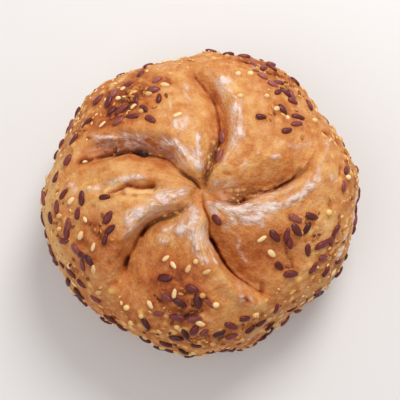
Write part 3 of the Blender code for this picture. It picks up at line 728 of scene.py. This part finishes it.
def gridAngles():  # rings down the profile, and columns that follow the folds
    topRings, sideRings, baseRings = crustGrid["rings"]
    topEnd = radians(crustGrid["topEnd"])
    rings = np.concatenate((
        np.linspace(0, topEnd, topRings + 1)[1:],
        np.linspace(topEnd, cornerAngle, sideRings + 1)[1:],
        np.linspace(cornerAngle, pi, baseRings + 1)[1:-1],
    ))
    even = np.arange(crustGrid["petalColumns"]) / crustGrid["petalColumns"]
    shares = even + crustGrid["crowding"] * (0.5 - 0.5 * np.cos(pi * even) - even)
    angles = foldAngles(foldShare(rings))
    angles = [*angles, angles[0] + 2 * pi]
    columns = [start[:, None] + (end - start)[:, None] * shares for start, end in zip(angles, angles[1:])]
    azimuth = np.concatenate(columns, axis=1)
    return np.broadcast_to(rings[:, None], azimuth.shape), azimuth


def closedGrids(name, rows, columns, points):
    # closed surfaces, each of rows * columns grid points, a top pole and a bottom pole: quads between the
    # rows, fans at the poles
    index = np.arange(rows * columns).reshape(rows, columns)
    right = np.roll(index, -1, axis=1)
    quads = np.stack((index[:-1], index[1:], right[1:], right[:-1]), axis=-1)
    topFan = np.stack((index[0], right[0], np.full(columns, rows * columns)), axis=-1)
    bottomFan = np.stack((right[-1], index[-1], np.full(columns, rows * columns + 1)), axis=-1)
    starts = np.arange(0, len(points), rows * columns + 2)
    corners = starts[:, None] + np.concatenate((quads.ravel(), topFan.ravel(), bottomFan.ravel()))
    sizes = np.tile(np.repeat((4, 3), ((rows - 1) * columns, 2 * columns)), len(starts))
    mesh = bpy.data.meshes.new(name)
    mesh.vertices.add(len(points))
    mesh.vertices.foreach_set("co", points.astype(np.float32).ravel())
    mesh.loops.add(corners.size)
    mesh.loops.foreach_set("vertex_index", corners.astype(np.int32).ravel())
    mesh.polygons.add(len(sizes))
    mesh.polygons.foreach_set("loop_start", (np.cumsum(sizes) - sizes).astype(np.int32))
    mesh.update(calc_edges=True)
    mesh.validate()
    mesh.shade_smooth()
    print(f"  {name}: {len(starts)} closed, {len(sizes)} faces")
    return mesh


def linked(data):
    thing = bpy.data.objects.new(data.name, data)
    bpy.context.scene.collection.objects.link(thing)
    return thing


def addPiece(mesh, material):
    piece = linked(mesh)
    mesh.materials.append(material)
    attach(piece, "root")
    return piece


def setAttribute(mesh, name, values):
    kind, field = ("FLOAT_VECTOR", "vector") if values.ndim == 2 else ("FLOAT", "value")
    layer = mesh.attributes.new(name, kind, "POINT")
    layer.data.foreach_set(field, values.astype(np.float32).ravel())


# The crust's darkness: baked browning, plus painted shade in the creases, gapes, pits and empty sockets, in
# the darker bands and patches, and among the nubs.
bake = {  # how brown the crust is, from 0 to 1, and what each thing adds to it
    "level": 0.36, "dark": 0.62, "rim": 0.05, "side": -0.02, "seeds": 0.18, "creaseShade": 0.05, "nubs": -0.70,
    "base": 0.16, "gape": 0.45, "pits": 0.35, "empty": 0.30,
    "rimStart": 0.70, "sideRange": (85, 125), "seedReach": 0.0030,
    "paleGrain": (0.9, 0.62), "marksGrain": (0.8, 0.72),  # how far the blisters break up what is pale
}


def bakeAndShadeField(theta, masks, points):  # the sum of each mask times what it adds
    masks = masks | {
        "rim": smoothStep(bake["rimStart"], 1, foldShare(theta)),
        "side": smoothStep(*np.radians(bake["sideRange"]), theta),
        "seeds": roundBumps(points, seedPoints, bake["seedReach"]) * masks["onTop"],
    }
    field = sum(bake[key] * values for key, values in masks.items() if key in bake)
    return np.clip(bake["level"] + field, 0, 1)


gridTheta, gridAzimuth = gridAngles()
gridRows, gridColumns = gridTheta.shape
crustTheta = np.concatenate((gridTheta.ravel(), (0, pi)))
crustAzimuth = np.concatenate((gridAzimuth.ravel(), (0, 0)))
crustRelief, masks = fineRelief(crustTheta, crustAzimuth)
crustPoints = crustSurface(crustTheta, crustAzimuth, crustRelief)
flat = crustPoints[:, :2]  # each pole goes to the middle of the ring beside it
flat[-2:] = flat[:gridColumns].mean(axis=0), flat[-2 - gridColumns:-2].mean(axis=0)
crustMesh = closedGrids("crust", gridRows, gridColumns, crustPoints)
masks["bake"] = bakeAndShadeField(crustTheta, masks, crustPoints)
for name in ("pale", "marks"):
    masks[name] = np.clip(masks[name] * np.polyval(bake[name + "Grain"], masks["blisters"]), 0, 1)
masks["torn"] = np.clip(masks["torn"] - masks["gape"], 0, 1)
for name in ("bake", "pale", "marks", "specks", "torn", "crumbs", "flow", "base"):
    setAttribute(crustMesh, name, masks[name])

print("mixing the materials")


def plug(tree, node, links):  # links or values for a node's inputs
    for key, value in links.items():
        if isinstance(value, bpy.types.NodeSocket):
            tree.links.new(value, node.inputs[key])
        else:
            node.inputs[key].default_value = value


def addNode(tree, kind, links, **settings):
    node = tree.nodes.new("ShaderNode" + kind)
    for key, value in settings.items():
        setattr(node, key, value)
    plug(tree, node, links)
    return node


def combined(tree, operation, first, *others):  # the sum, product or maximum of them all
    for other in others:
        first = addNode(tree, "Math", {0: first, 1: other}, operation=operation).outputs[0]
    return first


def rangeNode(tree, value, low, high, newLow=0, newHigh=1):
    links = {"Value": value, "From Min": low, "From Max": high, "To Min": newLow, "To Max": newHigh}
    return addNode(tree, "MapRange", links).outputs["Result"]


def mixColour(tree, factor, first, second):
    return addNode(tree, "Mix", {0: factor, 6: first, 7: second}, data_type="RGBA").outputs[2]


def colourRamp(tree, factor, stops):
    node = addNode(tree, "ValToRGB", {"Fac": factor})
    ramp = node.color_ramp
    while len(ramp.elements) < len(stops):
        ramp.elements.new(0.5)
    for element, (place, colour) in zip(ramp.elements, stops):
        element.position, element.color = place, paint(*colour)
    return node.outputs["Color"]


def paint(*channels):  # a screen colour from 0 to 255, made linear
    shares = [channel / 255 for channel in channels]
    return (*(c / 12.92 if c <= 0.04045 else ((c + 0.055) / 1.055) ** 2.4 for c in shares), 1.0)


def noiseNode(tree, vector, scale, detail, roughness=0.5, distortion=0):
    return addNode(tree, "TexNoise", {
        "Vector": vector, "Scale": scale, "Detail": detail, "Roughness": roughness, "Distortion": distortion,
    }).outputs["Fac"]


def bumpNode(tree, height, strength, distance):
    links = {"Strength": strength, "Distance": distance, "Height": height}
    return addNode(tree, "Bump", links).outputs["Normal"]


def fineGrainGroup():  # two noises on one place: a value round 0.5 for colour, and a height for bump
    group = bpy.data.node_groups.new("fineGrain", "ShaderNodeTree")
    for label, kind in (("Vector", "Vector"), ("Coarse Scale", "Float"), ("Fine Scale", "Float")):
        group.interface.new_socket(label, in_out="INPUT", socket_type="NodeSocket" + kind)
    for label in ("Value", "Height"):
        group.interface.new_socket(label, in_out="OUTPUT", socket_type="NodeSocketFloat")
    given, out = group.nodes.new("NodeGroupInput").outputs, group.nodes.new("NodeGroupOutput")
    coarse = noiseNode(group, given["Vector"], given["Coarse Scale"], detail=3)
    fine = noiseNode(group, given["Vector"], given["Fine Scale"], detail=2)
    value = combined(group, "MULTIPLY", combined(group, "ADD", coarse, fine), 0.5)
    plug(group, out, {"Value": value, "Height": combined(group, "MULTIPLY", value, value)})
    return group


fineGrain = fineGrainGroup()


def newMaterial(name, constants):  # a Principled material, with constants set on its own sockets
    material = bpy.data.materials.new(name)
    material.use_nodes = True
    shader = material.node_tree.nodes["Principled BSDF"]
    plug(material.node_tree, shader, constants)
    return material, material.node_tree, shader


def readAttribute(tree, name, output="Fac"):
    return addNode(tree, "Attribute", {}, attribute_name=name).outputs[output]


def placeGrain(tree, scales):  # the place on the piece, and its fine grain
    place = addNode(tree, "TexCoord", {}).outputs["Object"]
    links = {"Vector": place, "Coarse Scale": scales[0], "Fine Scale": scales[1]}
    return place, addNode(tree, "Group", links, node_tree=fineGrain).outputs


crustFinish = {
    "constants": {"IOR": 1.45, "Coat Weight": 0.02, "Coat Roughness": 0.30, "Specular IOR Level": 0.27},
    "stops": (
        (0, (226, 176, 106)), (0.22, (212, 152, 80)), (0.42, (197, 122, 54)),
        (0.62, (175, 94, 37)), (0.80, (142, 66, 27)), (1, (72, 32, 20)),
    ),
    # whitish skin colours: partly pale bloom, partly painted sheen and highlight
    "bloomAndSheen": paint(232, 211, 200), "bloomAndSheenWarm": paint(216, 166, 126), "bloomAndSheenShare": 0.90,
    "speck": paint(236, 186, 108), "flour": paint(232, 198, 146),
    "torn": paint(232, 188, 128), "crumbGapShade": paint(120, 70, 36), "tornShare": 0.75,
    "grainScales": (480, 1500), "silkStretch": (1, 1, 0.45), "pores": 900, "bump": (1, 0.00042),
    "noises": {  # scale, detail, roughness, distortion
        "mottle": (130, 4, 0.6), "blotch": (260, 3, 0.65, 0.4), "clouds": (330, 3, 0.55, 0.8),
        "streaks": (0.9, 4, 0.6, 0.6), "silk": (3, 3, 0.6, 0.5), "dusting": (420, 5, 0.7),
    },
    "ranges": {  # a value's low and high, and what they become
        "mottle": (0.3, 0.7, -0.13, 0.09), "streaks": (0.3, 0.7, -0.10, 0.08),
        "blotch": (0.3, 0.7, -0.08, 0.06), "grain": (0.35, 0.65, -0.09, 0.08),
        "veil": (0.2, 0.7, 0.10, 0), "veilClouds": (0.3, 0.6), "pale": (0.05, 0.6), "patchy": (0.82, 1.14),
        "markClouds": (0.3, 0.7, -0.24, 0.18), "markSilk": (0.3, 0.7, -0.14, 0.12), "marks": (0.18, 0.86),
        "specks": (0.10, 0.45, 0, 0.85), "crumbs": (0.1, 0.6), "dusting": (0.46, 0.66, 0, 0.45),
        "dull": (0.35, 0.7, 0, 0.7), "roughness": (0, 1, 0.52, 0.82),
    },
    "patchyParts": (0.75, 0.7, 0.55),  # of silk, clouds and blotches
    "heights": (0.6, -0.35, 0.7),  # of blotches, pores and silk
}


def crustMaterial():
    finish = crustFinish
    material, tree, shader = newMaterial("bakedCrust", finish["constants"])
    place, grain = placeGrain(tree, finish["grainScales"])
    flow = readAttribute(tree, "flow", "Vector")
    bakedAndShaded, pale, marks, specks, torn, crumbs, base = (
        readAttribute(tree, name) for name in ("bake", "pale", "marks", "specks", "torn", "crumbs", "base")
    )

    def noise(vector, key):
        return noiseNode(tree, vector, *finish["noises"][key])

    def ranged(value, key):
        return rangeNode(tree, value, *finish["ranges"][key])

    add, times, most = (partial(combined, tree, operation) for operation in ("ADD", "MULTIPLY", "MAXIMUM"))
    mix = partial(mixColour, tree)
    mottle, blotch, clouds, dusting = (noise(place, key) for key in ("mottle", "blotch", "clouds", "dusting"))
    streaks = noise(flow, "streaks")
    stretched = addNode(tree, "VectorMath", {0: flow, 1: finish["silkStretch"]}, operation="MULTIPLY")
    silk = noise(stretched.outputs["Vector"], "silk")
    # how dark the crust is: baked browning with painted shade added, and mottles of four sizes
    level = add(
        bakedAndShaded, ranged(mottle, "mottle"), ranged(streaks, "streaks"), ranged(blotch, "blotch"),
        ranged(grain["Value"], "grain"),
    )
    colour = colourRamp(tree, level, finish["stops"])
    # a thin dusty veil over the lighter crust, and pale skin with painted sheen: whitish in soft clouds, with
    # fine streaks
    colour = mix(times(ranged(level, "veil"), ranged(clouds, "veilClouds")), colour, finish["bloomAndSheen"])
    parts = zip((silk, clouds, blotch), finish["patchyParts"])
    patchy = ranged(add(*(times(*part) for part in parts)), "patchy")
    # the marks, pale skin partly painted as highlight, are whitish nearly all over, with ragged edges
    whole = ranged(add(marks, ranged(clouds, "markClouds"), ranged(silk, "markSilk")), "marks")
    bloomAndSheen = most(times(ranged(pale, "pale"), patchy), whole)
    warm = mix(most(patchy, whole), finish["bloomAndSheenWarm"], finish["bloomAndSheen"])
    colour = mix(times(bloomAndSheen, finish["bloomAndSheenShare"]), colour, warm)
    colour = mix(ranged(specks, "specks"), colour, finish["speck"])
    # torn dough: pale crumbs with painted shade in the gaps between them, then flour on the underside
    crumb = mix(ranged(crumbs, "crumbs"), finish["crumbGapShade"], finish["torn"])
    colour = mix(times(torn, finish["tornShare"]), colour, crumb)
    colour = mix(times(ranged(dusting, "dusting"), base), colour, finish["flour"])
    dull = most(torn, ranged(blotch, "dull"), bloomAndSheen, base)
    pores = addNode(tree, "TexVoronoi", {"Vector": place, "Scale": finish["pores"]}).outputs["Distance"]
    parts = zip((blotch, pores, times(silk, bloomAndSheen)), finish["heights"])
    height = add(grain["Height"], *(times(*part) for part in parts))
    plug(tree, shader, {
        "Base Color": colour, "Roughness": ranged(dull, "roughness"),
        "Normal": bumpNode(tree, height, *finish["bump"]),
    })
    return material


crust = addPiece(crustMesh, crustMaterial())
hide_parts("roll")

seedKinds = {
    "linseeds": {
        "size": (0.0044, 0.0025, 0.0015), "point": 0.30, "roughness": 0.38, "coat": 0.06, "slot": "linseed",
        "colours": ((64, 20, 17), (110, 42, 39), (162, 90, 78)),
    },
    "sesameSeeds": {
        "size": (0.0030, 0.0019, 0.0010), "point": 0.24, "roughness": 0.42, "coat": 0.15, "slot": "sesame",
        "colours": ((214, 168, 108), (238, 203, 146), (246, 222, 176)),
    },
    "milletGrains": {
        "size": (0.0020, 0.0018, 0.0016), "point": 0, "roughness": 0.40, "coat": 0.15, "slot": "millet",
        "colours": ((206, 152, 84), (232, 194, 124), (246, 222, 168)),
    },
}
crumbKinds = {
    "branFlakes": {  # broken bran and grain, thickest towards the rim
        "size": (0.0014, 0.0009, 0.00045), "point": 0.3, "roughness": 0.55, "coat": 0, "slot": "sesame",
        "colours": ((204, 136, 66), (236, 188, 114), (250, 222, 166)),
        "draw": 71, "band": (46, 80, 122, 900), "gap": 0.0017,
    },
    "crustBits": {  # bits of baked dough and bran among the clusters of seeds
        "size": (0.0017, 0.0011, 0.0007), "point": 0.3, "roughness": 0.60, "coat": 0, "slot": "sesame",
        "colours": ((84, 44, 22), (182, 104, 44), (244, 192, 116)),
        "draw": 72, "share": 2, "limit": 0.98, "gap": 0.0015,
    },
}
seedShape = {
    "rings": 5, "sides": 8, "sizeSpread": 0.12, "crumbSizes": (0.6, 1.25), "tiltSpread": 8, "sunk": 0.30,
    # painted light: the slope makes seeds lighter towards the back, where the main lamp stands
    "seed": 63, "tones": (2.2, 2.6), "paintedLightSlope": 3.4,  # how much lighter for each metre further back
    "constants": {"Coat Roughness": 0.20, "IOR": 1.47, "Specular IOR Level": 0.32},
    "grainScales": (700, 2600), "grainRange": (0.3, 0.7), "grainTone": (-0.18, 0.18),
    "grainRoughness": (-0.08, 0.12), "bump": (0.2, 0.00005),
}


def seedMaterial(name, kind):
    constants = seedShape["constants"] | {"Coat Weight": kind["coat"]}
    material, tree, shader = newMaterial(name + "Skin", constants)
    _, grain = placeGrain(tree, seedShape["grainScales"])
    tone, rough = (
        rangeNode(tree, grain["Value"], *seedShape["grainRange"], *change)
        for change in (seedShape["grainTone"], [kind["roughness"] + c for c in seedShape["grainRoughness"]])
    )
    level = combined(tree, "ADD", readAttribute(tree, "tone"), tone)
    plug(tree, shader, {
        "Base Color": colourRamp(tree, level, list(zip((0, 0.5, 1), kind["colours"]))),
        "Roughness": rough, "Normal": bumpNode(tree, grain["Height"], *seedShape["bump"]),
    })
    return material


def seedForm(point):
    # a closed ellipsoid of half sizes 1 whose width narrows by the given share towards its front end:
    # x = cos t, y = (1 - point * (1 + x) / 2) sin t cos a, z = sin t sin a
    t = np.linspace(0, pi, seedShape["rings"] + 2)[1:-1]
    a = np.linspace(0, 2 * pi, seedShape["sides"], endpoint=False)
    x = np.repeat(np.cos(t), len(a))
    y = (1 - point * (1 + x) / 2) * np.outer(np.sin(t), np.cos(a)).ravel()
    z = np.outer(np.sin(t), np.sin(a)).ravel()
    return np.concatenate((np.stack((x, y, z), axis=1), ((1, 0, 0), (-1, 0, 0))))


def addSeeds(name, kind, spots):
    # every seed's form, stretched a little at random, tilted up or down, and sunk into the finished crust
    rng = np.random.default_rng(seedShape["seed"] + len(name))
    theta, azimuth, turn, scale = spots[:4]
    count = len(theta)
    _, along, side, up = tangentFrame(theta, azimuth, turn)
    here = crustSurface(theta, azimuth, fineRelief(theta, azimuth, withSockets=False)[0])
    tilt = np.radians(rng.normal(0, seedShape["tiltSpread"], count))[:, None]
    length, normal = along * np.cos(tilt) + up * np.sin(tilt), up * np.cos(tilt) - along * np.sin(tilt)
    stretch = 1 + rng.uniform(-seedShape["sizeSpread"], seedShape["sizeSpread"], (count, 3))
    half = np.array(kind["size"]) / 2 * scale[:, None] * stretch
    middle = here + normal * half[:, 2:] * (1 - 2 * seedShape["sunk"])
    form = seedForm(kind["point"])
    points = middle[:, None] + form @ (half[:, :, None] * np.stack((length, side, normal), axis=1))
    mesh = closedGrids(name, seedShape["rings"], seedShape["sides"], points.reshape(-1, 3))
    # painted light: seeds further back, towards the main lamp, are lighter
    tone = rng.beta(*seedShape["tones"], count) + seedShape["paintedLightSlope"] * here[:, 1]
    setAttribute(mesh, "tone", np.repeat(np.clip(tone, 0, 1), len(form)))
    addPiece(mesh, seedMaterial(name, kind))


def crumbPlaces(kind):  # draws down the side or round each patch, kept where they are clear of the seeds
    rng = np.random.default_rng(kind["draw"])
    drawn = sideDraws(rng, kind["band"]) if "band" in kind else patchDraws(rng, kind["share"], kind["limit"])
    turn = rng.uniform(0, pi, drawn.shape[1])
    spots = np.vstack((drawn, turn, rng.uniform(*seedShape["crumbSizes"], len(turn))))
    return spots[:, nearest(pointsAt(spots), seedPoints) > kind["gap"]]


for number, (name, kind) in enumerate(seedKinds.items()):
    addSeeds(name, kind, places[:, places[-1] == number])
for name, kind in crumbKinds.items():
    addSeeds(name, kind, crumbPlaces(kind))

print("setting up floor, light and camera")
studio = {
    "floorSize": 6, "floorColour": paint(226, 224, 221), "floorRoughness": 0.85,
    "world": (0.95, 0.95, 1, 1), "worldStrength": 0.57,
    "target": (0, 0, 0.022), "azimuth": 0, "elevation": 78, "distance": 0.30, "lens": 85, "clipStart": 0.01,
    "lights": (
        {"place": (0.13, 0.30, 0.42), "size": 0.24, "energy": 1.86, "colour": (1, 0.98, 0.96)},
        {"place": (-0.30, -0.25, 0.45), "size": 0.50, "energy": 0.7, "colour": (1, 0.95, 0.90)},
    ),
}


def addAimed(data, place):  # a camera or light at its place, turned so that it looks at the target
    thing = linked(data)
    thing.location = place
    off = Vector(studio["target"]) - thing.location
    thing.rotation_euler = off.to_track_quat("-Z", "Y").to_euler()
    return thing


def addFloor():
    half = studio["floorSize"] / 2
    mesh = bpy.data.meshes.new("floor")
    corners = [(-half, -half, 0), (half, -half, 0), (half, half, 0), (-half, half, 0)]
    mesh.from_pydata(corners, [], [(0, 1, 2, 3)])
    constants = {"Base Color": studio["floorColour"], "Roughness": studio["floorRoughness"]}
    mesh.materials.append(newMaterial("paleFloor", constants)[0])
    floor = linked(mesh)


def addLight(number, light):
    data = bpy.data.lights.new(f"softbox{number}", "AREA")
    data.shape = "DISK"
    data.size = light["size"]
    data.energy = light["energy"]
    data.color = light["colour"]
    addAimed(data, light["place"])


def addCamera():
    data = bpy.data.cameras.new("camera")
    data.lens = studio["lens"]
    data.clip_start = studio["clipStart"]
    elevation, azimuth = radians(studio["elevation"]), radians(studio["azimuth"])
    flat = cos(elevation)
    out = Vector((flat * sin(azimuth), -flat * cos(azimuth), sin(elevation))) * studio["distance"]
    bpy.context.scene.camera = addAimed(data, Vector(studio["target"]) + out)


addFloor()
for number, light in enumerate(studio["lights"]):
    addLight(number, light)
addCamera()
world = bpy.data.worlds.new("softRoom")
world.use_nodes = True
background = world.node_tree.nodes["Background"]
plug(world.node_tree, background, {"Color": studio["world"], "Strength": studio["worldStrength"]})
bpy.context.scene.world = world
bpy.context.scene.view_settings.view_transform = "Standard"
